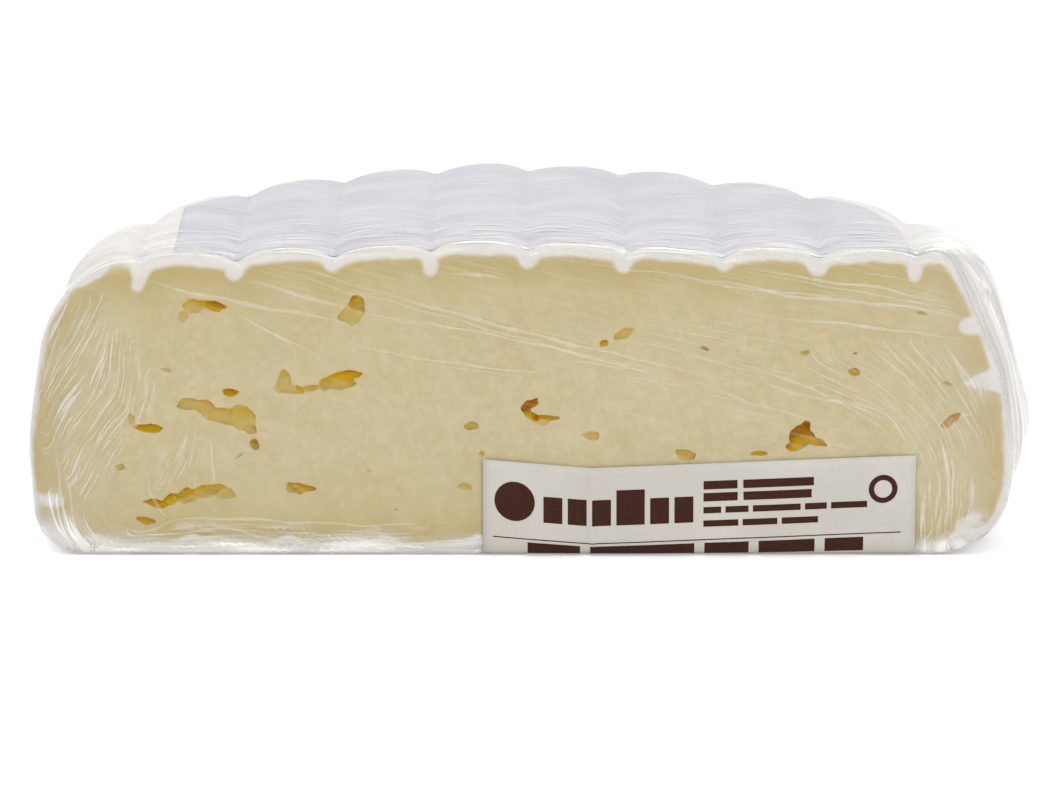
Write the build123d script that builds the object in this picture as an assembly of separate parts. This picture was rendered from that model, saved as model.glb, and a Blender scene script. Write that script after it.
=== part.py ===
"""Half of a small brie wheel in clear film, with a price label and a paper top label.

Millimetres, +Z up. The wheel lies flat, its cut face looks along -Y, and the origin is the
centre of the bottom of the box around it.
"""

import os
from math import cos, radians, sqrt, tan

from build123d import *

# ---- the wheel ----
WHEEL_RADIUS = 68.6  # at the waist, where the wall is widest
WHEEL_HEIGHT = 43.0
WAIST_HEIGHT = 16.0
LEAN_BELOW = 8.0  # degrees that the wall leans out up to the waist
LEAN_ABOVE = 15.5  # degrees that it leans in from there to the shoulder
BASE_ROUNDING = 5.0
WAIST_ROUNDING = 22.0
SHOULDER_ROUNDING = 9.0
CUT_BEFORE_CENTRE = 10.0  # the cut misses the wheel's centre by this much
CUT_EDGE_ROUNDING = 1.8

# ---- grooves that the ripening rack leaves, front to back ----
GROOVE_PITCH = 13.4
TOP_GROOVE_SHIFT = 1.2
BOTTOM_GROOVE_SHIFT = TOP_GROOVE_SHIFT - GROOVE_PITCH / 2
GROOVE_WIDTH = 1.5
TOP_GROOVE_DEPTH = 2.8
BOTTOM_GROOVE_DEPTH = 1.5
RIB_RISE = 1.0  # how far the top swells between two grooves

# ---- eyes in the cut face: place as shares of its half width and of its height, then width,
# height and the degrees that they rise towards +X ----
EYES = [
    (-0.64, 0.81, 4.2, 2.0, -15),
    (-0.34, 0.80, 2.4, 4.0, -10),
    (0.21, 0.73, 3.0, 1.8, 25),
    (0.68, 0.61, 1.6, 1.2, 0),
    (-0.59, 0.54, 2.3, 1.0, 0),
    (-0.48, 0.56, 4.0, 2.2, -20),
    (-0.37, 0.59, 6.4, 2.0, 8),
    (-0.61, 0.47, 10.0, 4.2, -18),
    (-0.75, 0.42, 5.0, 1.6, 0),
    (0.04, 0.47, 5.6, 2.4, -20),
    (0.58, 0.40, 5.2, 3.8, 10),
    (-0.67, 0.20, 11.0, 2.4, 10),
    (-0.45, 0.23, 4.4, 2.0, -12),
    (-0.76, 0.12, 2.8, 1.2, -5),
    (0.87, 0.46, 3.0, 1.2, 35),
]
EYE_DEPTH_SHARE = 1.1  # an eye's reach into the cheese, over its height

# ---- price label: on the cut face, folded under the front edge ----
PRICE_WIDTH = 60.0
PRICE_FACE_HEIGHT = 14.0
PRICE_UNDER_LENGTH = 38.0
PRICE_THICKNESS = 0.25
PRICE_END_MARGIN = 6.7  # from the label's +X side to where the bottom's flat ends

# ---- top label: a round one that lies in the top's flat, trimmed straight at front and sides ----
TOP_LABEL_WIDTH = 102.4
TOP_LABEL_CENTRE = 3.4
TOP_LABEL_SETBACK = 3.0  # behind the cut face
TOP_LABEL_THICKNESS = 0.3
RIM_MARGIN = 0.6  # how far the label's edge stays inside the top's flat

# ---- what follows from them ----
HALF_TURN = radians(LEAN_ABOVE + LEAN_BELOW) / 2
TIP = radians(LEAN_ABOVE - LEAN_BELOW) / 2
WAIST_CORNER = WHEEL_RADIUS + WAIST_ROUNDING * (cos(TIP) / cos(HALF_TURN) - 1)
BASE_RADIUS = WAIST_CORNER - WAIST_HEIGHT * tan(radians(LEAN_BELOW))
TOP_RADIUS = WAIST_CORNER - (WHEEL_HEIGHT - WAIST_HEIGHT) * tan(radians(LEAN_ABOVE))
BASE_FLAT = BASE_RADIUS - BASE_ROUNDING * tan(radians(90 - LEAN_BELOW) / 2)
TOP_FLAT = TOP_RADIUS - SHOULDER_ROUNDING * tan(radians(90 - LEAN_ABOVE) / 2)
DEPTH = CUT_BEFORE_CENTRE + WHEEL_RADIUS
FRONT = -DEPTH / 2
CENTRE = FRONT + CUT_BEFORE_CENTRE
BEYOND = 2 * WHEEL_RADIUS  # longer than anything that it cuts


def half_width_at_cut(radius):
    """How far a circle of this radius round the wheel's axis reaches along the cut face."""
    return sqrt(radius**2 - CUT_BEFORE_CENTRE**2)


def wheel():
    """The whole wheel: a flat bottom, a wall that leans in above its waist, a soft shoulder."""
    wall = FilletPolyline(
        (0, 0),
        (BASE_RADIUS, 0),
        (WAIST_CORNER, WAIST_HEIGHT),
        (TOP_RADIUS, WHEEL_HEIGHT),
        (0, WHEEL_HEIGHT),
        radius=[BASE_ROUNDING, WAIST_ROUNDING, SHOULDER_ROUNDING],
    )
    section = make_face([wall, Line((0, WHEEL_HEIGHT), (0, 0))])
    return Pos(0, CENTRE, 0) * revolve(Plane.XZ * section, Axis.Z)


def half_wheel():
    """The wheel behind the cut, with the fresh edges of the cut pressed round by the film."""
    cutter = Pos(0, FRONT, 0) * Box(BEYOND, BEYOND, BEYOND, align=(Align.CENTER, Align.MAX, Align.CENTER))
    half = wheel() - cutter
    face = half.faces().sort_by(Axis.Y)[0]
    return fillet(face.edges(), CUT_EDGE_ROUNDING)


def groove_places(shift):
    """The x of each groove that lies within the wheel's flat."""
    most = int(TOP_RADIUS / GROOVE_PITCH)
    places = [shift + GROOVE_PITCH * i for i in range(-most, most + 1)]
    return [x for x in places if abs(x) < TOP_RADIUS - SHOULDER_ROUNDING / 2]


def front_to_back(outline):
    """A cutter with this XZ outline, through the whole depth."""
    return Pos(0, BEYOND / 2, 0) * extrude(Plane.XZ * outline, BEYOND)


def top_cutter():
    """What stands above the ribs of the top: one swelling arc between each two grooves."""
    places = groove_places(TOP_GROOVE_SHIFT)
    valley = WHEEL_HEIGHT - RIB_RISE
    arcs = [
        ThreePointArc((a, valley), ((a + b) / 2, WHEEL_HEIGHT), (b, valley))
        for a, b in zip(places, places[1:])
    ]
    low, high = places[0], places[-1]
    roof = Polyline(
        (high, valley),
        (high + GROOVE_PITCH / 2, WHEEL_HEIGHT),
        (high + GROOVE_PITCH / 2, WHEEL_HEIGHT + RIB_RISE),
        (low - GROOVE_PITCH / 2, WHEEL_HEIGHT + RIB_RISE),
        (low - GROOVE_PITCH / 2, WHEEL_HEIGHT),
        (low, valley),
    )
    return front_to_back(make_face([*arcs, roof]))


def groove_cutters(shift, surface_height, depth):
    """One round-bottomed slot for each groove, centred on the surface that it is cut into."""
    slot = SlotOverall(2 * depth, GROOVE_WIDTH, rotation=90)
    return [front_to_back(Pos(x, surface_height) * slot) for x in groove_places(shift)]


def eye_cutters():
    """Flattened balls centred on the cut face."""
    reach = half_width_at_cut(WHEEL_RADIUS)
    return [
        Pos(across * reach, FRONT, up * WHEEL_HEIGHT)
        * Rot(0, -rise, 0)
        * scale(Sphere(0.5), by=(width, 2 * EYE_DEPTH_SHARE * height, height))
        for across, up, width, height, rise in EYES
    ]


def price_label():
    """A strip that lies in the cut face, turns under the front edge and lies in the bottom."""
    inside = CUT_EDGE_ROUNDING - PRICE_THICKNESS
    outer = FilletPolyline(
        (FRONT, PRICE_FACE_HEIGHT),
        (FRONT, 0),
        (FRONT + PRICE_UNDER_LENGTH, 0),
        radius=CUT_EDGE_ROUNDING,
    )
    inner = FilletPolyline(
        (FRONT + PRICE_THICKNESS, PRICE_FACE_HEIGHT),
        (FRONT + PRICE_THICKNESS, PRICE_THICKNESS),
        (FRONT + PRICE_UNDER_LENGTH, PRICE_THICKNESS),
        radius=inside,
    )
    ends = [Line(outer @ 0, inner @ 0), Line(outer @ 1, inner @ 1)]
    strip = make_face([outer, inner, *ends])
    right = half_width_at_cut(BASE_FLAT) - PRICE_END_MARGIN
    return Pos(right - PRICE_WIDTH, 0, 0) * extrude(Plane.YZ * strip, PRICE_WIDTH)


def top_label():
    """The sheet that a disc, centred on the wheel, and a rectangle have in common."""
    disc = Pos(0, CENTRE) * Circle(TOP_FLAT - RIM_MARGIN)
    trim = Pos(TOP_LABEL_CENTRE, FRONT + TOP_LABEL_SETBACK) * Rectangle(
        TOP_LABEL_WIDTH, DEPTH, align=(Align.CENTER, Align.MIN)
    )
    return Pos(0, 0, WHEEL_HEIGHT - TOP_LABEL_THICKNESS) * extrude(disc & trim, TOP_LABEL_THICKNESS)


def wrapped_brie(labels):
    """The half wheel with its ribs, grooves and eyes, and a shallow bed for each label."""
    body = half_wheel() - top_cutter()
    valley = WHEEL_HEIGHT - RIB_RISE
    grooves = groove_cutters(TOP_GROOVE_SHIFT, valley, TOP_GROOVE_DEPTH - RIB_RISE)
    grooves += groove_cutters(BOTTOM_GROOVE_SHIFT, 0, BOTTOM_GROOVE_DEPTH)
    for cutter in [*grooves, *eye_cutters(), *labels]:
        body = body - cutter
    return body


def main():
    os.makedirs("parts", exist_ok=True)
    price, top = price_label(), top_label()
    export_step(wrapped_brie([price, top]), "parts/wrapped_brie.step")
    export_step(price, "parts/price_label.step")
    export_step(top, "parts/top_label.step")


main()
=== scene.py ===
"""Looks of a half brie wheel in clear film, with a price label and a paper top label.

Shapes are worked out in millimetres, in the CAD model's frame, and turned into metres when a
mesh is made. The cut face looks along -Y.
"""

import random
from math import acos, asin, cos, pi, radians, sin, sqrt, tan

import bmesh
import bpy
import numpy as np
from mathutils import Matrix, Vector
from mathutils.bvhtree import BVHTree
from mathutils.kdtree import KDTree


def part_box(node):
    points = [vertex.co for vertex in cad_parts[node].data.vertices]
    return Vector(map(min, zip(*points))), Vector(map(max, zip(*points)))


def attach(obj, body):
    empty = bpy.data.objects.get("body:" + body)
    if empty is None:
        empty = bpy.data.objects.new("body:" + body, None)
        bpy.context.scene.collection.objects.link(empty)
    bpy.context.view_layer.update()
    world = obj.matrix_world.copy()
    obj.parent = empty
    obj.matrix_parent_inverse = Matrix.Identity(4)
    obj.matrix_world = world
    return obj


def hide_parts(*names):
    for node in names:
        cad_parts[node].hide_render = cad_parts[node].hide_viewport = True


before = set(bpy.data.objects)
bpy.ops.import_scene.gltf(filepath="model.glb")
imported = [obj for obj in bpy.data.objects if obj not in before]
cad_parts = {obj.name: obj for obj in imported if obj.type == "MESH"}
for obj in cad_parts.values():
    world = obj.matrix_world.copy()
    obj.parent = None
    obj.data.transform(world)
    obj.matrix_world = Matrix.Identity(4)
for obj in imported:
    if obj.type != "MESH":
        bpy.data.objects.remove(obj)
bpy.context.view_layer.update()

MM = 0.001
SEED = 7


def box_mm(node):
    low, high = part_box(node)
    return np.array(low) / MM, np.array(high) / MM


BRIE_LOW, BRIE_HIGH = box_mm("wrapped_brie")
PRICE_LOW, PRICE_HIGH = box_mm("price_label")
TOP_LOW, TOP_HIGH = box_mm("top_label")

# ---- the cheese, from the frame ----
RADIUS = BRIE_HIGH[0]
HEIGHT = BRIE_HIGH[2]
FRONT = BRIE_LOW[1]
CENTRE = BRIE_HIGH[1] - RADIUS  # y of the wheel's axis
LIFT = 0.2  # the cheese's bottom stands this high, on film and label
EDGE_ROUNDING = 1.8  # of the cut's edges

# ---- the cheese's own shape: corners (out from the middle, up) and their roundings ----
FACE_LEFT = [(0, 0), (66.7, 0), (68.1, 16), (64.3, HEIGHT), (0, HEIGHT)], [6.5, 30, 17]
FACE_RIGHT = [(0, 0), (66.8, 0), (68.5, 13), (66.9, 25.5), (59.4, HEIGHT), (0, HEIGHT)], [10, 22, 16, 3.5]
BODY = [(0, 0), (66.6, 0), (69.0, 16), (61.4, HEIGHT), (0, HEIGHT)], [5, 22, 9]
BLEND_WITHIN = 7.0  # behind the cut the wall turns from the face's outline into the body's
RIGHT_SWELL = 2.7  # how far the right wall swells out behind the cut
RELIEF_BAND = 7.0  # within this much of the wall the relief of the top, and of the bottom, fades out
DOMES = [(-4, 1.2, 17), (-51, -0.7, 13)]  # the top's slow rise and fall: x, height and width

# ---- rack grooves ----
PITCH = 13.4
TOP_SHIFT = 1.2
BOTTOM_SHIFT = TOP_SHIFT - PITCH / 2
TOP_GROOVE = [(0.45, 1.1), (0.4, 2.8)]  # a narrow dip in a wide one: depth and width of each
BOTTOM_GROOVE = [(0.75, 1.2), (0.2, 2.6)]
RIB_ROUNDING = 0.55  # how far a rib falls from its middle to its grooves

# ---- how many steps things are divided into ----
ACROSS = 250  # the cut from side to side, and the back of the wall
UP = 86  # the wall from bottom to top
BACK = 74  # the wall between the cut and its back, at each end
OUTLINE_STEPS = 519  # the cut's outline
SPLINE_STEPS = 12  # a smooth line between two given points
ARC_POINTS = 30  # a rounded corner


# ======== small helpers
def smooth(value, low, high):
    """0 below low, 1 above high, a soft step between."""
    share = np.clip((np.asarray(value, float) - low) / (high - low), 0, 1)
    return share * share * (3 - 2 * share)


def bell(value, width):
    """1 at 0, fading to both sides within about twice the width."""
    return np.exp(-((value / width) ** 2))


def waves(points, size, seed, count=14):
    """Seeded gentle relief between about -1 and 1, with bumps of about this size."""
    rng = np.random.default_rng(seed)
    turns = rng.normal(size=(count, 3))
    turns /= np.linalg.norm(turns, axis=1)[:, None]
    turns *= (2 * pi / size) * rng.uniform(0.6, 1.5, (count, 1))
    phases = rng.uniform(0, 2 * pi, count)
    return np.sin(points @ turns.T + phases).sum(axis=1) / sqrt(count)


def resample(points, count):
    """count points, evenly spaced along a line."""
    points = np.asarray(points, float)
    run = np.concatenate([[0], np.cumsum(np.linalg.norm(np.diff(points, axis=0), axis=1))])
    wanted = np.linspace(0, run[-1], count)
    return np.stack([np.interp(wanted, run, points[:, i]) for i in range(points.shape[1])], axis=1)


def flowing(points, count):
    """count points along a smooth (Catmull-Rom) line through the given ones."""
    points = np.asarray(points, float)
    if len(points) == 2:
        return resample(points, count)
    padded = np.vstack([2 * points[0] - points[1], points, 2 * points[-1] - points[-2]])
    line = []
    for a, b, c, d in zip(padded, padded[1:], padded[2:], padded[3:]):
        for t in np.linspace(0, 1, SPLINE_STEPS, endpoint=False):
            line.append(0.5 * (2 * b + (c - a) * t + (2 * a - 5 * b + 4 * c - d) * t**2
                               + (3 * b - a - 3 * c + d) * t**3))
    return resample(line + [points[-1]], count)


def rounded_side(corners, radii, count):
    """The side of an outline, from the end of its flat bottom to the end of its flat top."""
    corners = np.array(corners, float)
    line = []
    for before, corner, after, radius in zip(corners, corners[1:], corners[2:], radii):
        a = (before - corner) / np.linalg.norm(before - corner)
        b = (after - corner) / np.linalg.norm(after - corner)
        half = acos(a @ b) / 2
        middle = corner + (a + b) / np.linalg.norm(a + b) * radius / sin(half)
        start, end = corner + a * radius / tan(half) - middle, corner + b * radius / tan(half) - middle
        for share in np.linspace(0, 1, ARC_POINTS):
            arm = (1 - share) * start + share * end
            line.append(middle + arm * radius / np.linalg.norm(arm))
    return resample(line, count)


def to_line(points, line):
    """Distance of each 2-D point to a closed line of 2-D points."""
    start, end = line, np.roll(line, -1, axis=0)
    run = end - start
    length = (run**2).sum(axis=1) + 1e-12
    nearest = np.empty(len(points))
    batch = 4000
    for first in range(0, len(points), batch):
        some = points[first:first + batch, None, :] - start[None]
        share = np.clip((some * run).sum(axis=2) / length, 0, 1)[..., None]
        nearest[first:first + batch] = np.sqrt(((some - share * run) ** 2).sum(axis=2).min(axis=1))
    return nearest


def add_object(name, data):
    """A new object in the scene."""
    thing = bpy.data.objects.new(name, data)
    bpy.context.scene.collection.objects.link(thing)
    return thing


def make_object(name, points_mm, faces):
    """A smooth-shaded mesh object, from points in millimetres."""
    mesh = bpy.data.meshes.new(name)
    mesh.from_pydata((np.asarray(points_mm) * MM).tolist(), [], [list(map(int, f)) for f in faces])
    mesh.update()
    mesh.polygons.foreach_set("use_smooth", [True] * len(mesh.polygons))
    return add_object(name, mesh)


def set_attribute(piece, key, values):
    """Gives each point of the piece a number, or a vector."""
    values = np.asarray(values, np.float32)
    kind, field = ("FLOAT", "value") if values.ndim == 1 else ("FLOAT_VECTOR", "vector")
    piece.data.attributes.new(key, kind, "POINT").data.foreach_set(field, values.ravel())


def read_vectors(items, field):
    flat = np.empty(len(items) * 3)
    items.foreach_get(field, flat)
    return flat.reshape(-1, 3)


def mesh_points(piece):
    return read_vectors(piece.data.vertices, "co") / MM


def bake_modifiers(piece):
    """Replaces the piece's mesh by what its modifiers make of it."""
    shape = piece.evaluated_get(bpy.context.evaluated_depsgraph_get())
    mesh = bpy.data.meshes.new_from_object(shape)
    piece.modifiers.clear()
    piece.data = mesh


def surface_of(piece):
    points = [vertex.co / MM for vertex in piece.data.vertices]
    return BVHTree.FromPolygons(points, [face.vertices[:] for face in piece.data.polygons])


def grid_faces(rows, columns, flip=False):
    """Quads of a grid of points stored row by row."""
    at = np.arange(rows * columns).reshape(rows, columns)
    quads = np.stack([at[:-1, :-1], at[:-1, 1:], at[1:, 1:], at[1:, :-1]], axis=-1).reshape(-1, 4)
    return quads[:, ::-1] if flip else quads


def joined(patches):
    """Several patches, each of points and faces, as one."""
    points, faces, first = [], [], 0
    for patch_points, patch_faces in patches:
        points.append(patch_points)
        faces += (np.asarray(patch_faces) + first).tolist()
        first += len(patch_points)
    return np.vstack(points), faces


def coons(bottom, top, left, right):
    """The patch of points between four edges that share their end points."""
    u = np.linspace(0, 1, len(bottom))[None, :, None]
    v = np.linspace(0, 1, len(left))[:, None, None]
    ruled = (1 - v) * bottom[None] + v * top[None] + (1 - u) * left[:, None] + u * right[:, None]
    corners = (1 - v) * ((1 - u) * bottom[0] + u * bottom[-1]) + v * ((1 - u) * top[0] + u * top[-1])
    return ruled - corners


# ======== the cheese's outer shape
def groove_distance(x, shift):
    """How far x is from the nearest groove."""
    return np.abs((x - shift + PITCH / 2) % PITCH - PITCH / 2)


def groove_dip(x, shift, dips):
    """How deep the grooves are at x."""
    away = groove_distance(x, shift)
    return sum(depth * bell(away, width) for depth, width in dips)


def top_relief(x, y, share):
    """Height of the top over the nominal one: domed, ribbed, and with a share of each groove."""
    dome = sum(height * bell(x - middle, width) for middle, height, width in DOMES)
    fading = 1 - 0.45 * smooth(y, FRONT + 8, FRONT + 45)
    rib = -RIB_ROUNDING * (1 - 2 * groove_distance(x, TOP_SHIFT) / PITCH) ** 2
    slow = 0.16 * waves(np.stack([x, y, 0 * x], axis=1), 17, 3)
    return dome * fading + rib - share * groove_dip(x, TOP_SHIFT, TOP_GROOVE) + slow


def bottom_relief(x, share):
    """Height of the bottom: it rests on its ribs and rises by a share of each groove."""
    return LIFT + share * groove_dip(x, BOTTOM_SHIFT, BOTTOM_GROOVE)


def ribbed(points, shares):
    """Moves the points near the top and the bottom as the two reliefs say."""
    x, y, z = points.T
    moved = points.copy()
    moved[:, 2] += smooth(z, HEIGHT - RELIEF_BAND, HEIGHT) * top_relief(x, y, shares[0])
    moved[:, 2] += (1 - smooth(z, 0, RELIEF_BAND)) * bottom_relief(x, shares[1])
    return moved


def ring(left, right, body):
    """The wall at one height, from the cut's left end round to its right.

    left, right and body are that height's points on the three outlines.
    """
    start_y = FRONT + EDGE_ROUNDING
    radius, height = body
    dip = asin((start_y - CENTRE) / radius)
    share = np.linspace(0, 1, BACK + 1) ** 1.25
    angles = np.concatenate([
        pi - dip + (3 * pi / 4 - pi + dip) * share,
        np.linspace(3 * pi / 4, pi / 4, ACROSS + 1)[1:],
        (dip + (pi / 4 - dip) * share)[::-1][1:],
    ])
    swell = RIGHT_SWELL * smooth(height, 2, 22) * bell(angles, 0.42)
    reach = radius + swell + 0.35 * np.sin(3.1 * angles + 0.05 * height)
    x, y = reach * np.cos(angles), CENTRE + reach * np.sin(angles)
    points = np.stack([x, y, np.full_like(x, height)], axis=1)
    ends = (-left[0], left[1]), (right[0], right[1])
    for away, end in zip((radius * (pi - dip - angles), radius * (angles - dip)), ends):
        near = (1 - smooth(away, 0, BLEND_WITHIN))[:, None]
        side = np.stack([np.full_like(x, end[0]), y, np.full_like(x, end[1])], axis=1)
        points = points * (1 - near) + side * near
    points[0] = (ends[0][0], start_y, ends[0][1])
    points[-1] = (ends[1][0], start_y, ends[1][1])
    return points


def outer_shape(shares):
    """The half wheel's four sides as patches, the cut face first, and the face's outline."""
    outlines = [rounded_side(*outline, UP + 1) for outline in (FACE_LEFT, FACE_RIGHT, BODY)]
    wall = np.array([ring(*at_height) for at_height in zip(*outlines)])

    def level_patch(ring_points):
        """The level patch inside a ring, and its edge along the cut."""
        edge = resample(np.array([ring_points[0], ring_points[-1]]), ACROSS + 1)
        back = ring_points[BACK:BACK + ACROSS + 1]
        return edge, coons(edge, back, ring_points[:BACK + 1], ring_points[::-1][:BACK + 1])

    low_edge, bottom = level_patch(wall[0])
    high_edge, top = level_patch(wall[-1])
    face = coons(low_edge, high_edge, wall[:, 0], wall[:, -1])
    patches = []
    for grid, flip in ((face, False), (wall[:, ::-1], False), (top, False), (bottom, True)):
        patches.append((ribbed(grid.reshape(-1, 3), shares), grid_faces(*grid.shape[:2], flip)))

    on_face = patches[0][0].reshape(UP + 1, ACROSS + 1, 3)
    outline = np.vstack([on_face[0], on_face[1:, -1], on_face[-1, ::-1][1:], on_face[::-1, 0][1:-1]])
    outline = resample(np.vstack([outline, outline[:1]]), OUTLINE_STEPS + 1)[:-1][:, (0, 2)]
    return patches, outline


def face_relief(points):
    """The cut's own gentle unevenness."""
    return 0.10 * waves(points, 15, 21) + 0.05 * waves(points, 4.5, 22)


def press_face(points, outline):
    """Gives the cut face its place, its rounded edges and its relief."""
    inside = to_line(points[:, (0, 2)], outline)
    short = np.clip(EDGE_ROUNDING - inside, 0, EDGE_ROUNDING)
    pressed = points.copy()
    pressed[:, 1] = FRONT + EDGE_ROUNDING - np.sqrt(np.maximum(EDGE_ROUNDING**2 - short**2, 0))
    edge = np.zeros((UP + 1, ACROSS + 1), bool)
    edge[[0, -1]] = edge[:, [0, -1]] = True
    pressed[edge.ravel(), 1] = FRONT + EDGE_ROUNDING
    pressed[:, 1] += face_relief(pressed) * smooth(inside, 0.4, 4)
    return pressed


def half_wheel(name, shares):
    """The closed half wheel as an object, and its face's outline.

    shares are how much of the top's and of the bottom's grooves it has.
    """
    patches, outline = outer_shape(shares)
    face, quads = patches[0]
    patches[0] = (press_face(face, outline), quads)
    points, faces = joined(patches)
    _, chosen, where = np.unique(np.round(points, 4), axis=0, return_index=True, return_inverse=True)
    return make_object(name, points[chosen], where.reshape(-1)[np.array(faces)]), outline


# ======== eyes
# Each eye is a few lobes that run together: x, z, width, height, degrees that it rises to the
# right, and how deep it looks. The deeper it looks, the deeper its painted amber shade.
EYES = [
    # the upper left
    [(-42.4, 35.5, 3.9, 1.4, -12, 3.2), (-44.9, 35.5, 3.2, 2.2, 5, 1.2),
     (-46.4, 34.0, 1.4, 2.2, -25, 0.6)],
    [(-22.4, 35.6, 2.3, 2.6, 35, 2.2), (-23.2, 34.1, 3.8, 2.5, 12, 1.0)],
    [(-40.1, 23.3, 2.5, 1.15, -3, 1.9)],
    [(-48.8, 26.4, 1.9, 0.8, -8, 0.6)],
    # the wide shallow one with its ragged right end
    [(-45.9, 21.6, 3.8, 1.6, 12, 1.05), (-43.4, 21.2, 3.8, 2.3, -22, 1.2),
     (-41.0, 19.9, 5.2, 2.2, -14, 1.2), (-38.4, 19.6, 4.2, 3.2, -8, 1.15),
     (-37.3, 18.0, 2.0, 1.6, -20, 1.2)],
    [(-36.7, 15.9, 1.4, 1.8, 30, 1.5), (-38.8, 14.3, 1.9, 0.4, 33, 0.6)],
    # the tear
    [(-32.5, 25.0, 2.0, 2.8, 8, 1.1), (-32.0, 23.7, 4.3, 1.5, -8, 1.0), (-30.5, 23.7, 1.8, 0.9, -35, 1.8),
     (-28.8, 23.9, 2.8, 0.9, 8, 1.2), (-26.2, 24.6, 3.4, 2.0, 15, 1.5), (-24.7, 24.4, 4.0, 1.6, 2, 1.4),
     (-24.0, 25.7, 4.4, 1.3, 6, 2.2)],
    # the left middle and the long crack under it
    [(-51.2, 18.3, 4.3, 1.25, 0, 2.4), (-53.7, 19.4, 1.1, 2.0, 20, 0.8)],
    [(-55.3, 12.7, 1.4, 1.0, 0, 0.8)],
    [(-50.3, 7.5, 3.6, 1.2, -6, 2.2), (-48.3, 8.1, 2.6, 1.5, 22, 2.0), (-46.2, 8.6, 3.6, 2.1, 10, 1.75),
     (-43.4, 9.3, 4.8, 2.2, 11, 1.5), (-41.0, 9.0, 3.2, 1.8, -10, 0.8)],
    [(-51.9, 5.1, 3.0, 1.1, -6, 1.4)],
    [(-31.2, 9.8, 2.4, 1.8, -20, 1.8), (-29.9, 9.8, 3.8, 1.0, -10, 1.7)],
    [(-21.0, 12.2, 1.2, 0.7, 0, 0.6)],
    [(-16.8, 9.2, 1.5, 0.8, 0, 0.6), (-17.1, 6.6, 0.9, 0.7, 0, 0.5)],
    # the hook
    [(1.5, 21.6, 2.5, 1.3, 22, 4.0), (0.9, 20.6, 1.1, 2.0, 30, 3.8), (2.0, 19.8, 2.2, 1.1, -38, 3.2),
     (3.9, 19.7, 3.6, 0.8, -2, 2.4), (3.0, 19.0, 2.2, 1.0, 0, 0.6)],
    # the centre and right
    [(11.7, 30.2, 1.3, 0.95, 10, 2.2)],
    [(14.3, 31.5, 3.1, 1.35, 25, 1.1)],
    [(-6.7, 18.5, 2.1, 1.3, -4, 1.15)],
    [(-4.2, 17.4, 2.0, 1.2, -10, 0.6)],
    [(-5.2, 14.5, 0.9, 1.0, 20, 1.4)],
    [(-7.6, 9.8, 2.4, 1.5, 0, 0.9)],
    [(10.0, 17.1, 2.6, 1.4, -5, 0.9)],
    [(23.0, 14.4, 3.0, 1.7, 0, 1.2)],
    [(33.2, 14.6, 2.4, 0.8, 0, 1.4)],
    [(39.0, 16.8, 3.7, 3.1, 15, 4.8), (39.6, 18.2, 1.7, 2.0, -10, 3.4), (41.1, 16.3, 3.0, 1.2, -14, 2.6),
     (38.0, 15.6, 2.4, 1.5, 15, 3.4)],
    [(46.3, 26.2, 1.8, 1.15, -8, 1.4)],
    [(46.4, 28.8, 0.9, 0.6, 0, 0.3)],
    [(39.4, 28.8, 1.4, 0.9, 12, 0.9)],
    [(25.7, 29.5, 1.5, 0.7, -20, 0.8)],
    [(55.4, 34.5, 1.8, 0.6, -10, 0.9)],
    [(59.2, 24.5, 1.5, 0.6, -22, 0.9)],
    [(59.7, 19.3, 3.6, 1.1, 36, 1.8)],
]
EYE_LOBES = [lobe for eye in EYES for lobe in eye]
EYE_LEAN = 0.24  # how far an eye climbs for each mm that it goes in
EYE_VOXEL = 0.15  # how finely the lobes of an eye run together
RAGGED = 0.16  # how uneven an eye's edge is, as a share of its size
LEAST_REACH = 0.17  # how far in the shallowest goes
# painted shade: an eye's amber is full this far in
FULL_EYE_SHADE = 0.30  # how far in an eye has its full colour


def eye_reach(lobe):
    """How far a lobe goes in, and how far it climbs on the way: no further than light can follow."""
    _, _, _, height, _, depth = lobe
    reach = min(0.6 * depth, 0.42 * height + 0.15) * (0.5 + 0.5 * float(smooth(depth, 0.5, 1.4)))
    reach = max(reach, LEAST_REACH)
    return reach, EYE_LEAN * min(1.0, reach / 2)


def eye_lobe(points, lobe, seed):
    """A unit ball's points as an uneven, flattened, leaning lobe."""
    x, z, width, height, rise, _ = lobe
    reach, lean = eye_reach(lobe)
    uneven = 1 + RAGGED * waves(points, 1.3, seed) + 0.4 * RAGGED * waves(points, 0.5, seed + 1)
    ball = points * uneven[:, None]
    across, into, up = ball[:, 0] * width / 2, ball[:, 1] * reach, ball[:, 2] * height / 2
    turn = radians(rise)
    return np.stack([
        x + across * cos(turn) - up * sin(turn),
        FRONT + into,
        z + across * sin(turn) + up * cos(turn) + lean * into,
    ], axis=1)


def painted_eye_shade(points, depth):
    """How much of the eyes' amber each point takes, as painted shade and glow: none on the cut, and the
    more the deeper its eye looks.
    """
    into = points[:, 1] - FRONT
    total, weights = np.zeros(len(points)), np.full(len(points), 1e-9)
    for lobe in EYE_LOBES:
        x, z, width, height, rise, deep = lobe
        reach, lean = eye_reach(lobe)
        turn = radians(rise)
        right, up = points[:, 0] - x, points[:, 2] - z - lean * into
        across = (right * cos(turn) + up * sin(turn)) / (width / 2)
        over = (up * cos(turn) - right * sin(turn)) / (height / 2)
        weight = np.exp(-1.5 * np.minimum(across**2 + over**2 + (into / reach) ** 2, 12))
        # painted shade: an eye is most amber under its lip at the top and fades towards its foot; a tall
        # lobe fades more from its top to its foot than a low one
        tall = smooth(height, 1.0, 2.2)
        lip_shade = 0.95 - 0.23 * tall + (0.15 + 0.25 * tall) * np.clip(over, -1, 1)
        total += weight * lip_shade * (0.44 + 0.56 * smooth(deep, 0.6, 1.9) + 0.5 * smooth(deep, 2.4, 4.4))
        weights += weight
    return total / weights * smooth(depth, ON_SURFACE, FULL_EYE_SHADE)


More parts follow.
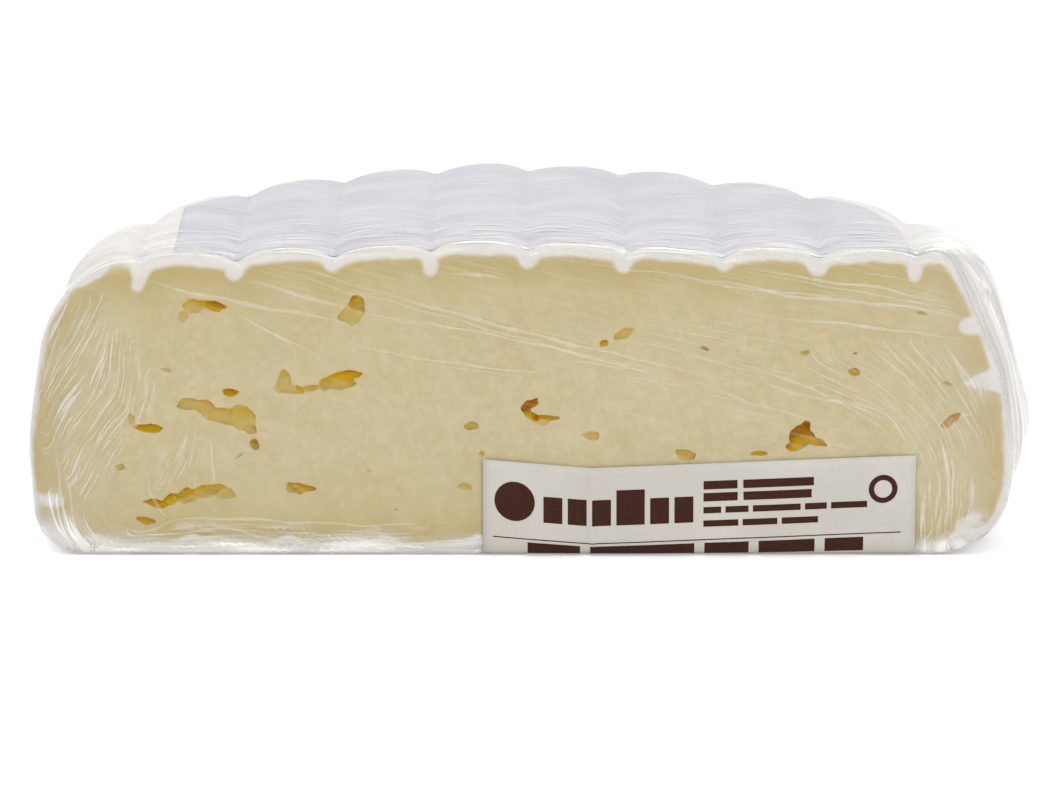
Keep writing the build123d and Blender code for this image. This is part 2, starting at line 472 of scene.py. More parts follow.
def eye_cutter():
    """Every eye's lobes, run together into closed blobs."""
    ball = bmesh.new()
    bmesh.ops.create_icosphere(ball, subdivisions=4, radius=1)
    points = np.array([v.co[:] for v in ball.verts])
    faces = np.array([[v.index for v in f.verts] for f in ball.faces])
    ball.free()
    lobes = [(eye_lobe(points, lobe, SEED + 31 * i), faces) for i, lobe in enumerate(EYE_LOBES)]
    cutter = make_object("eye_cutter", *joined(lobes))
    remesh = cutter.modifiers.new("blend", "REMESH")
    remesh.mode = "VOXEL"
    remesh.voxel_size = EYE_VOXEL * MM
    remesh.use_smooth_shade = True
    soften = cutter.modifiers.new("soften", "SMOOTH")
    soften.factor = 0.5
    soften.iterations = 2
    bake_modifiers(cutter)
    return cutter


# ======== rind and paste
RIND_TOP = 1.25
RIND_RIGHT = 0.7
RIND_LEFT = 0.55
RIND_BOTTOM = 1.3
RIND_LEAST = 0.3
THIN_RIND_AT = -55.6  # x where the top's rind is thinnest
SEAM = 0.6  # how softly a lobe of rind runs into the rest
# How low the white rind hangs at each of the top's grooves, from left to right.
GROOVE_LOBE_BOTTOMS = [39.2, 39.0, 40.2, 39.7, 40.6, 40.2, 40.4, 39.7, 38.9]
# More rind that reaches into the cut: from x, z and radius to x, z and radius.
RIND_PATCHES = [
    (-51.6, 42.5, 1.3, -52.8, 38.3, 0.9),
    (61.9, 32.6, 1.3, 66.0, 33.0, 1.4),
    (61.9, 24.6, 0.5, 67.0, 25.2, 2.2),
    (61.4, 4.6, 0.7, 63.6, 5.6, 0.5),
    (-67.0, 8.2, 0.7, -64.3, 7.8, 0.9),
]
ALL_RIND = 3.0  # the cover where there is nothing but rind
ON_SURFACE = 0.02  # what lies deeper than this under the uncut shape is in an eye
NEAR_CUT = 12.0  # how far behind the cut rind and eyes are told apart
EYES_WITHIN = 6.0  # how far behind the cut an eye may reach


def rind_lobes():
    """Every place where white rind hangs into the paste."""
    middle = len(GROOVE_LOBE_BOTTOMS) // 2
    rng = random.Random(SEED)
    lobes = []
    for i, bottom in enumerate(GROOVE_LOBE_BOTTOMS):
        x = TOP_SHIFT + PITCH * (i - middle) + rng.uniform(-0.35, 0.35)
        radius = rng.uniform(0.95, 1.3)
        lobes.append((x + rng.uniform(-0.2, 0.2), HEIGHT, radius * 1.1, x, bottom + radius, radius))
    return lobes + RIND_PATCHES


def lobe_cover(flat, lobe):
    """How far each 2-D point lies inside a lobe; negative outside."""
    x0, z0, r0, x1, z1, r1 = lobe
    start, run = np.array([x0, z0]), np.array([x1 - x0, z1 - z0])
    share = np.clip(((flat - start) @ run) / (run @ run), 0, 1)
    away = np.linalg.norm(flat - start - share[:, None] * run, axis=1)
    return r0 + (r1 - r0) * share - away


def soft_max(a, b, blend):
    """The larger of two fields, with a rounded seam."""
    share = np.clip(0.5 + 0.5 * (a - b) / blend, 0, 1)
    return b * (1 - share) + a * share + blend * share * (1 - share)


def rind_cover(points, inside):
    """How far each point of the cut lies within the rind, in mm; negative in the paste."""
    x, _, z = points.T
    ragged = waves(points, 2.6, 11) * 0.10 + waves(points, 9.0, 12) * 0.14
    near_top, near_bottom = smooth(z, HEIGHT - 6, HEIGHT - 2), 1 - smooth(z, 2, 6)
    top = RIND_TOP - groove_dip(x, TOP_SHIFT, TOP_GROOVE) - 1.1 * bell(x - THIN_RIND_AT, 2.0)
    top = np.maximum(top, RIND_LEAST)
    bottom = RIND_BOTTOM + 1.0 * bell(groove_distance(x, BOTTOM_SHIFT), 2.4) + 1.6 * ragged
    right = RIND_RIGHT + 0.6 * (1 - smooth(z, 14, 22))
    side = np.where(x < 0, RIND_LEFT, right) + 0.2 * waves(points, 7.0, 13)
    cover = side + (top - side) * near_top + (bottom - side) * near_bottom + ragged - inside
    for lobe in rind_lobes():
        cover = soft_max(cover, lobe_cover(points[:, (0, 2)], lobe) + 0.7 * ragged, SEAM)
    return cover


def make_cheese():
    """The half wheel with its eyes cut in. The mesh says what is rind, edge and eye."""
    cheese, outline = half_wheel("brie", (1.0, 1.0))
    uncut = surface_of(cheese)
    cutter = eye_cutter()
    cut = cheese.modifiers.new("eyes", "BOOLEAN")
    cut.operation = "DIFFERENCE"
    cut.object = cutter
    cut.solver = "MANIFOLD"
    bake_modifiers(cheese)
    bpy.data.objects.remove(cutter)

    points = mesh_points(cheese)
    y, z = points[:, 1], points[:, 2]
    near = np.flatnonzero(y < FRONT + NEAR_CUT)
    depth, inside, painted_amber = np.zeros((3, len(points)))
    depth[near] = [uncut.find_nearest(Vector(point))[3] for point in points[near]]
    inside[near] = to_line(points[near][:, (0, 2)], outline)
    cover = np.full(len(points), ALL_RIND)
    cover[near] = rind_cover(points[near], inside[near])
    cover[(depth < ON_SURFACE) & (y > FRONT + EDGE_ROUNDING + ON_SURFACE)] = ALL_RIND
    # each eye's painted amber shade, by how deep a point lies and how deep its eye looks
    in_eye = np.flatnonzero((depth > ON_SURFACE) & (y < FRONT + EYES_WITHIN))
    painted_amber[in_eye] = painted_eye_shade(points[in_eye], depth[in_eye])
    set_attribute(cheese, "rind", cover)
    set_attribute(cheese, "edge", inside)
    set_attribute(cheese, "eye", painted_amber)
    set_attribute(cheese, "cut", (1 - smooth(y, FRONT + 0.3, FRONT + 1.5)) * smooth(z, 2, 5))
    cheese.data.polygons.foreach_set("use_smooth", [True] * len(cheese.data.polygons))
    cheese.data.set_sharp_from_angle(angle=radians(52))
    return cheese


# ======== materials
class Nodes:
    """Short ways to add the nodes that the materials and the world share."""

    def __init__(self, tree):
        self.tree = tree

    def link(self, source, target):
        self.tree.links.new(source, target)

    def add(self, kind, inputs=None, **settings):
        """A new node, with a number, a vector or a link at each of the given inputs."""
        node = self.tree.nodes.new(kind)
        for key, value in settings.items():
            setattr(node, key, value)
        for key, value in (inputs or {}).items():
            if isinstance(value, (int, float, tuple)):
                node.inputs[key].default_value = value
            else:
                self.link(value, node.inputs[key])
        return node

    def attribute(self, name, output="Fac"):
        return self.add("ShaderNodeAttribute", attribute_name=name).outputs[output]

    def noise(self, size_mm, detail, roughness, stretch=None, seed=0.0):
        place = self.add("ShaderNodeTexCoord").outputs["Object"]
        if stretch:
            place = self.add("ShaderNodeMapping", {"Vector": place, "Scale": stretch}).outputs[0]
        inputs = {"Vector": place, "Scale": 1 / (size_mm * MM), "Detail": detail}
        inputs |= {"Roughness": roughness, "W": seed}
        return self.add("ShaderNodeTexNoise", inputs, noise_dimensions="4D").outputs["Fac"]

    def along_flow(self, across_mm, along_mm, seed=0.0):
        """Noise that is drawn out along the flow."""
        inputs = {"Vector": self.attribute("flow", "Vector"), "Location": (seed, seed, 0.0)}
        inputs |= {"Scale": (1 / across_mm, 1 / along_mm, 1.0)}
        place = self.add("ShaderNodeMapping", inputs).outputs[0]
        inputs = {"Vector": place, "Scale": 1.0, "Detail": 1.5}
        return self.add("ShaderNodeTexNoise", inputs).outputs["Fac"]

    def math(self, operation, a, b, clamp=False):
        return self.add("ShaderNodeMath", {0: a, 1: b}, operation=operation, use_clamp=clamp).outputs[0]

    def plus(self, a, b):
        return self.math("ADD", a, b)

    def times(self, a, b):
        return self.math("MULTIPLY", a, b)

    def ramp(self, value, low, high, to_low=0.0, to_high=1.0):
        inputs = {"Value": value, "From Min": low, "From Max": high, "To Min": to_low, "To Max": to_high}
        return self.add("ShaderNodeMapRange", inputs, interpolation_type="SMOOTHSTEP").outputs[0]

    def mix(self, factor, a, b):
        inputs = {"Factor": factor, "A": a, "B": b}
        return self.add("ShaderNodeMix", inputs, data_type="RGBA").outputs["Result"]

    def bump(self, height, distance_mm, strength, below=None):
        inputs = {"Height": height, "Distance": distance_mm * MM, "Strength": strength}
        if below is not None:
            inputs["Normal"] = below
        return self.add("ShaderNodeBump", inputs).outputs[0]


def new_material(name, constants):
    """A material, its nodes and its shader, with the constants on the shader's own sockets."""
    material = bpy.data.materials.new(name)
    material.use_nodes = True
    n = Nodes(material.node_tree)
    n.tree.nodes.clear()
    shader = n.add("ShaderNodeBsdfPrincipled", constants)
    n.add("ShaderNodeOutputMaterial", {0: shader.outputs[0]})
    return material, n, shader


def srgb(red, green, blue):
    """A linear colour from 8-bit sRGB values."""
    def linear(value):
        value /= 255
        return value / 12.92 if value <= 0.04045 else ((value + 0.055) / 1.055) ** 2.4
    return linear(red), linear(green), linear(blue), 1.0


def brie_material():
    """Paste, pale in the middle and tan under the rind, with amber eyes, which are painted shade and
    glow, and white rind.
    """
    material, n, shader = new_material("brie", {
        "Subsurface Radius": (1.0, 0.9, 0.5),
        "Subsurface Scale": 1.2 * MM,
        "Specular IOR Level": 0.08,
    })
    fine = n.noise(0.5, 3, 0.6)
    curd = n.noise(1.3, 2, 0.6, seed=8.0)
    blotch = n.noise(6.0, 4, 0.55, seed=3.0)
    broad = n.noise(24.0, 2, 0.5, seed=5.0)
    edge = n.plus(n.attribute("edge"), n.times(n.plus(blotch, -0.5), 4.0))
    eye = n.attribute("eye")

    paste = n.mix(n.ramp(blotch, 0.3, 0.7), srgb(200, 188, 151), srgb(207, 196, 163))
    # each layer: its field, from where to where, the layer's share at both, and its colour
    for field, low, high, at_low, at_high, colour in (
        (broad, 0.3, 0.75, 0.0, 0.5, srgb(197, 183, 143)),
        (fine, 0.35, 0.75, 0.0, 0.22, srgb(189, 175, 136)),
        (curd, 0.42, 0.66, 0.0, 0.45, srgb(213, 202, 169)),
        (edge, 4.0, 15.0, 0.35, 0.0, srgb(193, 178, 131)),
        (edge, 1.0, 6.5, 0.85, 0.0, srgb(190, 172, 121)),
        # painted shade and glow in the eyes: ochre at the rims, amber, then dark amber where an eye looks
        # deepest
        (eye, 0.0, 0.30, 0.0, 1.0, srgb(201, 178, 108)),
        (eye, 0.42, 0.86, 0.0, 1.0, srgb(207, 169, 16)),
        (eye, 0.80, 1.15, 0.0, 1.0, srgb(172, 117, 4)),
    ):
        paste = n.mix(n.ramp(field, low, high, at_low, at_high), paste, colour)

    # rind: white mould, a little warmer in places and greyer where it is cut
    mould = n.noise(3.0, 4, 0.6, seed=9.0)
    rind = n.mix(n.ramp(mould, 0.35, 0.7), srgb(229, 226, 222), srgb(236, 234, 232))
    rind = n.mix(n.ramp(broad, 0.55, 0.8, 0.0, 0.35), rind, srgb(230, 222, 212))
    rind = n.mix(n.times(n.attribute("cut"), 0.8), rind, srgb(216, 211, 205))

    is_rind = n.ramp(n.plus(n.attribute("rind"), n.times(n.plus(fine, -0.5), 0.35)), -0.42, 0.34)
    n.link(n.mix(is_rind, paste, rind), shader.inputs["Base Color"])
    n.link(n.ramp(is_rind, 0, 1, 0.45, 0.85), shader.inputs["Roughness"])
    n.link(n.ramp(eye, 0.0, 0.3, 0.25, 0.6), shader.inputs["Subsurface Weight"])
    relief = n.bump(n.noise(1.6, 4, 0.55, seed=2.0), 0.10, 0.5)
    n.link(n.bump(n.times(fine, is_rind), 0.12, 0.6, relief), shader.inputs["Normal"])
    return material


def film_material():
    """Clear where it lies close, milky where it is stretched or gathered, and whiter at a glance as a
    painted reflection.

    Its finest creases are drawn along the flow that the mesh carries: x across it, y along it. Their
    white is partly the film's own and partly painted highlight.
    """
    material, n, shader = new_material("film", {
        "Roughness": 0.16,
        "Specular IOR Level": 0.8,
        "Coat Weight": 1.0,
        "Coat Roughness": 0.08,
    })
    creases = n.along_flow(0.50, 9.0)
    threads = n.along_flow(0.28, 6.0, 3.0)
    veils = n.along_flow(1.9, 16.0, 7.0)
    lines = n.math("MAXIMUM", n.ramp(creases, 0.53, 0.70), n.times(n.ramp(threads, 0.55, 0.72), 0.7))
    # partly painted highlight: the creases show as whiter, less clear lines
    drawn = n.times(lines, n.attribute("streak"))
    milky = n.times(n.attribute("haze"), n.ramp(veils, 0.3, 0.7, 0.6, 1.2))
    clear = n.ramp(n.noise(14.0, 3, 0.55, seed=6.0), 0.4, 0.75, 0.0, 0.015)
    # painted reflection: at a glancing angle the film's white shows more, in place of a reflection
    glance = n.add("ShaderNodeLayerWeight", {"Blend": 0.3}).outputs["Fresnel"]
    painted_sheen = n.ramp(glance, 0.06, 0.7, 0.0, 0.4)
    alpha = n.math("ADD", n.plus(clear, milky), n.plus(painted_sheen, drawn), clamp=True)
    n.link(alpha, shader.inputs["Alpha"])
    # whiter along the creases, partly painted highlight
    n.link(n.mix(lines, srgb(243, 241, 238), srgb(250, 247, 240)), shader.inputs["Base Color"])
    relief = n.bump(n.noise(5.0, 3, 0.5, stretch=(0.5, 0.5, 2.0), seed=6.0), 0.25, 0.22)
    relief = n.bump(n.times(creases, n.attribute("streak")), 0.25, 0.3, relief)
    n.link(relief, shader.inputs["Normal"])
    return material


def fold_material():
    """A fold shows as a milky line that fades out to its sides and ends; its white is partly the film's
    own and partly painted highlight.
    """
    constants = {"Base Color": srgb(247, 241, 223), "Roughness": 0.42, "Specular IOR Level": 0.4}
    material, n, shader = new_material("film_fold", constants)
    broken = n.ramp(n.noise(2.2, 2, 0.5, seed=1.0), 0.3, 0.7, 0.55, 1.0)
    n.link(n.times(n.attribute("ridge"), broken), shader.inputs["Alpha"])
    return material


def paper_material(name, light, dark, roughness):
    """Paper: fine fibre, and slow clouds between its two tones."""
    constants = {"Roughness": roughness, "Specular IOR Level": 0.35}
    material, n, shader = new_material(name, constants)
    fibre = n.noise(0.35, 4, 0.65, stretch=(1.0, 1.0, 0.5))
    cloud = n.noise(9.0, 2, 0.5, seed=2.0)
    tone = n.plus(n.times(fibre, 0.4), n.times(cloud, 0.6))
    n.link(n.mix(n.ramp(tone, 0.35, 0.65), dark, light), shader.inputs["Base Color"])
    n.link(n.bump(fibre, 0.02, 0.35), shader.inputs["Normal"])
    return material


def ink_material():
    material, n, shader = new_material("ink", {"Roughness": 0.6, "Specular IOR Level": 0.15})
    speckle = n.ramp(n.noise(0.25, 3, 0.7), 0.3, 0.75)
    n.link(n.mix(speckle, srgb(44, 16, 8), srgb(70, 38, 26)), shader.inputs["Base Color"])
    return material


# ======== the film's lines
# Long folds that fall gently across the cut: points x, z, then width and strength.
LONG_FOLDS = [
    ([(-52.2, 39.4), (-43.2, 36.9), (-22.1, 32.9)], 0.95, 0.55),
    ([(-40.5, 35.0), (-33.0, 31.2), (-26.8, 27.9)], 0.50, 0.50),
    ([(-24.8, 39.0), (1.2, 31.7), (23.0, 26.4)], 0.70, 0.50),
    ([(-24.8, 38.2), (0.0, 31.0), (19.0, 26.2)], 0.40, 0.40),
    ([(-24.8, 35.1), (2.1, 30.2), (25.5, 23.8)], 0.60, 0.45),
    ([(-24.8, 30.6), (-13.8, 28.1), (6.3, 25.6)], 0.50, 0.45),
    ([(-13.8, 27.6), (-8.0, 26.6), (2.0, 25.4)], 0.40, 0.30),
    ([(-38.5, 39.4), (-30.0, 37.0), (-21.6, 34.6)], 0.90, 0.50),
    ([(-22.0, 34.9), (-14.0, 32.8), (-9.0, 31.5)], 0.50, 0.35),
    ([(-31.2, 41.4), (-27.0, 39.8), (-22.1, 38.2)], 0.60, 0.40),
    ([(-11.1, 40.3), (-6.0, 39.9), (-0.8, 39.0)], 0.70, 0.45),
    ([(-31.0, 39.9), (-22.0, 37.0), (-14.0, 35.2)], 0.40, 0.35),
    ([(3.8, 42.3), (14.0, 40.8), (25.0, 39.3), (37.4, 37.4), (60.1, 34.6)], 0.50, 0.42),
    ([(19.4, 39.9), (37.4, 37.0), (58.0, 34.9)], 0.70, 0.50),
    ([(29.8, 41.1), (41.6, 39.1), (49.4, 38.1), (55.3, 36.7), (61.0, 35.4)], 0.60, 0.60),
    ([(31.0, 40.4), (42.0, 38.4), (60.5, 35.0)], 0.40, 0.40),
    ([(41.6, 36.9), (48.0, 36.1), (54.1, 35.3), (60.4, 34.2)], 0.55, 0.55),
    ([(53.0, 36.4), (57.0, 35.4), (60.4, 34.6)], 0.40, 0.50),
    ([(46.5, 40.3), (50.5, 39.8), (54.1, 38.9)], 0.40, 0.35),
    ([(34.4, 33.9), (41.6, 33.3), (49.4, 32.5), (56.1, 31.5), (62.6, 30.7)], 0.60, 0.50),
    ([(15.8, 30.5), (24.0, 28.6), (33.0, 25.8)], 0.45, 0.40),
    ([(16.0, 33.1), (23.0, 31.9), (31.5, 29.9)], 0.40, 0.35),
    ([(4.6, 27.9), (14.0, 26.9), (22.0, 25.2)], 0.40, 0.35),
    ([(23.6, 25.0), (33.0, 21.6), (38.8, 19.8), (44.0, 18.6)], 0.45, 0.40),
    ([(29.0, 27.6), (36.0, 25.6), (44.0, 22.0), (50.0, 18.4), (53.0, 15.0)], 0.50, 0.40),
    ([(31.5, 25.6), (40.0, 22.6), (47.1, 21.7), (51.5, 19.5), (53.7, 16.2)], 0.80, 0.40),
    ([(56.6, 28.9), (57.4, 27.6), (57.7, 25.4)], 0.60, 0.60),
    ([(58.2, 17.4), (59.0, 14.2), (59.3, 10.7), (59.8, 5.4)], 0.80, 0.75),
    ([(58.7, 15.6), (59.6, 11.0), (60.3, 5.9)], 0.40, 0.60),
    ([(61.2, 19.9), (61.9, 20.1), (62.8, 20.0)], 0.60, 0.60),
    ([(55.7, 8.0), (55.7, 4.8), (56.0, 1.2)], 0.55, 0.70),
    ([(57.4, 4.0), (56.6, 2.4), (56.2, 1.0)], 0.45, 0.60),
    ([(59.3, 8.0), (58.3, 4.8), (57.7, 1.4)], 0.40, 0.55),
    ([(57.7, 1.4), (59.0, 3.3), (59.8, 3.2), (60.3, 1.2)], 0.40, 0.50),
    ([(61.3, 8.0), (61.4, 6.6), (61.5, 5.2)], 0.40, 0.45),
    ([(62.5, 10.0), (62.8, 7.6), (62.7, 5.4)], 0.40, 0.45),
    ([(-58.0, 1.0), (-50.0, 4.3), (-44.9, 5.5), (-30.6, 4.9), (-20.0, 4.5), (-8.0, 5.0)], 0.60, 0.45),
    ([(-45.9, 4.9), (-43.0, 3.6), (-39.9, 2.0)], 0.45, 0.40),
    ([(-42.4, 4.8), (-39.0, 3.8), (-34.6, 2.4), (-28.0, 1.2)], 0.60, 0.45),
    ([(-57.7, 1.3), (-53.0, 2.4), (-46.0, 2.5)], 0.60, 0.55),
    ([(-64.4, 15.5), (-63.8, 11.2), (-62.7, 1.6)], 0.50, 0.60),
    ([(-63.3, 13.0), (-62.6, 10.0), (-62.3, 7.6), (-61.4, 3.0)], 0.45, 0.50),
    ([(-51.4, 11.5), (-51.2, 9.2), (-49.6, 6.0), (-48.2, 5.4)], 0.55, 0.45),
    ([(-43.0, 17.0), (-42.6, 13.8), (-42.2, 10.6)], 0.50, 0.50),
]
LONG_SHOWN = 0.8  # the share of its strength that a long fold shows with

# Lines that the finer folds flow along, as points x, z: a fold lies between two neighbours.
LEFT_SHEAF = [
    [(-63.5, 35.9), (-65.8, 30.1), (-66.8, 24.9)],
    [(-60.6, 35.6), (-64.0, 29.6), (-66.0, 24.0)],
    [(-57.4, 36.4), (-60.6, 30.6), (-64.0, 25.4), (-66.3, 21.0)],
    [(-56.6, 31.5), (-57.8, 27.5), (-59.8, 22.8), (-62.9, 18.9), (-64.9, 14.4)],
    [(-55.8, 33.5), (-56.3, 29.6), (-56.8, 24.9), (-58.9, 20.7), (-61.7, 17.0), (-63.2, 12.9)],
    [(-54.0, 30.6), (-53.8, 25.9), (-54.5, 21.7), (-57.1, 18.3), (-58.9, 14.9), (-61.4, 9.7)],
    [(-52.7, 28.0), (-52.7, 23.8), (-53.7, 19.1), (-55.8, 16.0), (-57.8, 12.9), (-61.2, 6.8)],
    [(-50.2, 24.4), (-51.7, 20.7), (-54.8, 15.5), (-56.3, 13.1)],
]
MIDDLE_SHEAF = [
    [(-46.6, 18.8), (-48.6, 15.2), (-51.2, 11.0)],
    [(-45.6, 19.0), (-46.6, 14.4), (-49.0, 9.8)],
    [(-43.4, 18.4), (-43.8, 14.0), (-44.6, 10.4)],
]
RIGHT_SHEAF = [
    [(44.0, 21.3), (47.1, 20.3), (49.1, 19.8), (51.4, 18.3), (52.9, 15.1)],
    [(40.0, 25.6), (47.1, 22.7), (50.4, 20.9), (53.7, 16.3), (54.0, 14.4)],
    [(41.0, 27.8), (47.1, 24.5), (52.5, 20.6), (54.5, 17.8), (57.0, 13.2), (58.3, 8.7)],
    [(45.0, 28.3), (50.4, 25.0), (56.3, 19.5), (58.3, 15.6), (59.3, 12.2)],
    [(52.0, 30.5), (57.0, 25.0), (61.6, 18.8), (63.3, 15.6), (64.6, 9.0)],
    [(60.5, 30.0), (64.0, 24.0), (65.6, 18.0), (65.6, 13.0)],
]
RIGHT_FOOT = [
    [(55.3, 11.6), (55.4, 7.0), (55.7, 1.2)],
    [(57.6, 11.0), (57.4, 6.0), (57.2, 1.4)],
    [(60.2, 13.0), (60.2, 7.0), (59.6, 1.4)],
    [(63.4, 13.0), (62.8, 7.0), (61.0, 2.4)],
]
LEFT_FOOT = [
    [(-66.6, 10.0), (-65.4, 5.0), (-63.0, 1.4)],
    [(-63.6, 8.0), (-62.8, 4.0), (-60.8, 0.8)],
    [(-60.4, 5.6), (-58.4, 2.6), (-54.0, 1.2)],
    [(-57.0, 4.6), (-52.0, 3.6), (-46.0, 3.0)],
]
HEEL_LINES = [
    [(-58.0, 0.5), (-45.0, 0.7), (-30.0, 0.6), (-6.0, 0.6)],
    [(-56.0, 2.2), (-45.0, 2.7), (-30.0, 2.4), (-6.0, 2.6)],
    [(-52.0, 4.0), (-40.0, 4.6), (-26.0, 4.0), (-7.0, 4.2)],
]
# Each sheaf: its lines and how strongly the fine creases along them show, then its folds: how
# many, their width and strength, and the least and the largest share of a line that one takes.
SHEAVES = [
    (LEFT_SHEAF, 0.36, 76, 0.21, 0.36, (0.08, 0.36)),
    (MIDDLE_SHEAF, 0.25, 8, 0.22, 0.32, (0.20, 0.50)),
    (RIGHT_SHEAF, 0.23, 26, 0.28, 0.20, (0.20, 0.60)),
    (RIGHT_FOOT, 0.32, 12, 0.26, 0.36, (0.25, 0.80)),
    (LEFT_FOOT, 0.36, 10, 0.30, 0.34, (0.30, 0.90)),
    (HEEL_LINES, 0.35, 12, 0.40, 0.50, (0.10, 0.40)),
]
GATHER = (-6.0, 8.0)  # where the film is gathered, underneath
# Where gathered film whitens the cut: x, z, size and how milky.
MILKY_SPOTS = [
    (-64.8, 7.9, 1.4, 0.60),
    (-66.0, 26.0, 2.2, 0.15),
    (64.6, 24.6, 2.6, 0.30),
    (63.4, 5.2, 1.6, 0.45),
    (-62.5, 2.2, 2.9, 0.75),
]


# ======== the film
FILM_GAP = 0.2
FILM_BROAD = 0.12  # how much further off it is behind the cut
STRETCH = 0.4  # how much further off the wall it is at the right end, where it spans straight
FLOOR_GAP = 0.06  # its least height over the floor
LABEL_GAP = 0.11  # how much more than that it is on the price label
PRESSED = 0.85  # the share of its distance from the cheese that it loses there
TRACK_POINTS = 40  # along each track of a sheaf
TRACKS_BETWEEN = 12  # from one line of a sheaf to the next
NEIGHBOURS = 6  # how many track points say where a point lies in a sheaf
FLOW_MARGIN = 4.0  # how far off a sheaf a point is still given a place in it
FAR_OFF = 99.0  # a distance that is out of reach of everything
# Where each side's creases lie in the noise, so that no two sides share a pattern.
TOP_LAYER, UNDER_LAYER, FACE_LAYER = 20, 40, 60


def track_between(tracks, place):
    """A sheaf's track at a place between two of its lines."""
    first = min(int(place), len(tracks) - 2)
    return tracks[first] * (1 - place + first) + tracks[first + 1] * (place - first)


def flow_along(lines, flat):
    """Where 2-D points lie across and along a sheaf, and how far off it they are."""
    tracks = np.array([flowing(line, TRACK_POINTS) for line in lines])
    gaps = np.linalg.norm(np.diff(tracks, axis=0), axis=2).mean(axis=1)
    side = np.concatenate([[0], np.cumsum(gaps)])
    count = (len(tracks) - 1) * TRACKS_BETWEEN
    tree = KDTree(count * TRACK_POINTS)
    known = []
    for place in np.linspace(0, len(tracks) - 1, count, endpoint=False):
        track = track_between(tracks, place)
        run = np.concatenate([[0], np.cumsum(np.linalg.norm(np.diff(track, axis=0), axis=1))])
        across = np.interp(place, range(len(side)), side)
        for point, along in zip(track, run):
            tree.insert((point[0], point[1], 0), len(known))
            known.append((across, along))
    tree.balance()
    known = np.array(known)
    found, off = np.zeros((len(flat), 2)), np.full(len(flat), FAR_OFF)
    low, high = tracks.min(axis=(0, 1)) - FLOW_MARGIN, tracks.max(axis=(0, 1)) + FLOW_MARGIN
    for i in np.flatnonzero(((flat > low) & (flat < high)).all(axis=1)):
        near = tree.find_n((flat[i, 0], flat[i, 1], 0), NEIGHBOURS)
        weights = np.array([1 / (distance**2 + 0.02) for _, _, distance in near])
        found[i] = weights @ known[[index for _, index, _ in near]] / weights.sum()
        off[i] = near[0][2]
    return found, off


def film_flow(points, normals):
    """Which way the film's creases run at each point, and how strongly they show."""
    x, y, z = points.T
    facing, upward = -normals[:, 1], normals[:, 2]
    flow, streak = np.zeros((len(points), 3)), np.zeros(len(points))

    def lay(where, across, along, layer, strength):
        """Sets the flow and the streaks of one side."""
        flow[where] = np.stack([across, along, np.full_like(x, layer)], axis=1)[where]
        streak[where] = strength[where]

    # first all of it as on the wall, then the top, the underside and the cut
    turn = np.arctan2(y - CENTRE, x)
    turn = np.where(turn < -pi / 2, turn + 2 * pi, turn)
    shown = (1 - smooth(upward, 0.4, 0.55)) * smooth(upward, -0.6, -0.4)
    near_cut = 1 - smooth(y, FRONT + 14, FRONT + 40)
    across = turn * RADIUS + 0.06 * z * np.sign(x)
    lay(slice(None), across, 0.35 * z, 0, (0.14 + 0.08 * near_cut) * shown)

    near_cut = 1 - smooth(y, FRONT + 10, FRONT + 30)
    lay(upward > 0.6, 1.3 * y, x, TOP_LAYER, (0.22 + 0.5 * near_cut) * smooth(upward, 0.66, 0.8))

    from_gather = points[:, :2] - np.array(GATHER)
    turn = np.arctan2(from_gather[:, 1], from_gather[:, 0])
    off_seam = smooth(np.abs(np.abs(turn) - pi), 0.03, 0.06)  # turn jumps there, and so would creases
    along = np.linalg.norm(from_gather, axis=1)
    lay(upward < -0.62, 18 * turn, along, UNDER_LAYER, 0.6 * smooth(-upward, 0.66, 0.8) * off_seam)

    face = facing > 0.6
    shown = smooth(facing, 0.66, 0.85)
    strength = (0.03 + 0.07 * smooth(z + 0.35 * x, 20, 31)) * shown
    lay(face, 1.2 * (z + 0.24 * x), 0.7 * x, FACE_LAYER, strength)
    on_it = np.flatnonzero(face)
    for layer, (lines, strength, *_) in enumerate(SHEAVES, FACE_LAYER + 1):
        found, off = flow_along(lines, points[on_it][:, (0, 2)])
        streak[on_it] *= smooth(off, 1.5, 2.4)
        taken = off < 1.4
        chosen = on_it[taken]
        flow[chosen, :2] = found[taken]
        flow[chosen, 2] = layer
        streak[chosen] = strength * shown[chosen] * (1 - smooth(off[taken], 0.3, 1.2))
    return flow, streak


def film_haze(points, inside, behind):
    """How milky the film is at each point.

    inside is how far a point lies in from the cut's outline; behind is 0 on the cut and 1 behind it.
    """
    x, y, z = points.T
    layers = [
        np.where(x < 0, 0.15, 0.34) * (1 - smooth(inside, 0.2, 1.8)),  # the cut's rim
        0.36 * smooth(np.abs(x), 58, 66) * behind,  # the wall's two ends
        0.22 * smooth(z, HEIGHT - 1.5, HEIGHT + 0.2) * (1 - smooth(y, FRONT + 2, FRONT + 6)),  # top rim
        0.77 * (1 - smooth(z + 0.4 * waves(points, 9, 43), 1.2, 4.1)),  # the foot
        0.80 * smooth(-x, 59, 64) * (1 - smooth(z, 3, 8)),  # the lower left corner
        0.7 * smooth(x, 48, 60) * (1 - smooth(y, FRONT + 8, FRONT + 30)) * behind,  # the right wall
        0.08 * smooth(np.abs(x + 1), 50, 62),  # towards both ends
    ]
    for patch_x, patch_z, size, milk in MILKY_SPOTS:
        away = ((x - patch_x) ** 2 + (z - patch_z) ** 2) / size**2
        layers.append(milk * np.exp(-away) * (1 - behind))
    return np.maximum.reduce(layers)


